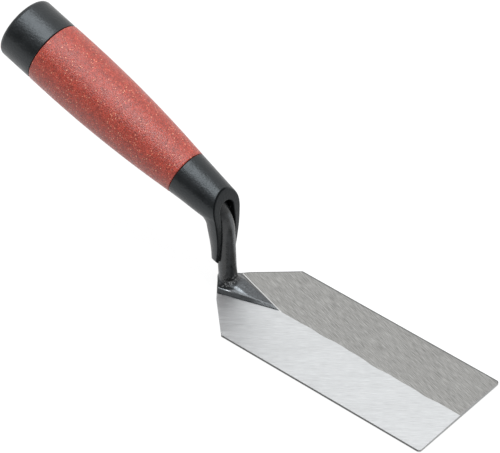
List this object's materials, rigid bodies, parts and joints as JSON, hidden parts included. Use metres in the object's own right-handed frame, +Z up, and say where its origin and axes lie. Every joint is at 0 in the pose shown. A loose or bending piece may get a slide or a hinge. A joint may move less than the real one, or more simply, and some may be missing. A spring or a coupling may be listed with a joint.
{
  "type": "margin trowel",
  "caption": "Flat-bladed margin trowel: pointed-heel steel blade, swan-neck shank on a V-shaped foot, moulded guard and round soft-grip handle with a butt cap.",
  "frame": {"origin": "middle of the blade's flat sole: halfway along the blade's length, on its centre line", "axes": "+X along the blade to its straight front edge, +Z up from the sole through the blade; the handle rises to the rear over -X"},
  "size_m": [0.2336, 0.0508, 0.0903],
  "materials": {
    "ground_steel": "ground, fine lengthwise and slanting grind lines",
    "black_enamel": "semi-gloss black enamel",
    "guard_plastic": "satin black moulding",
    "core_plastic": "plain grey moulding, inside the grip",
    "soft_grip": "pebbled soft grip, speckled brick red",
    "cap_plastic": "satin black moulding"
  },
  "bodies": {
    "root": {"blade": "ground_steel", "shank": "black_enamel", "front_guard": "guard_plastic", "handle_core": "core_plastic", "soft_grip": "soft_grip", "butt_cap": "cap_plastic"}
  },
  "joints": []
}
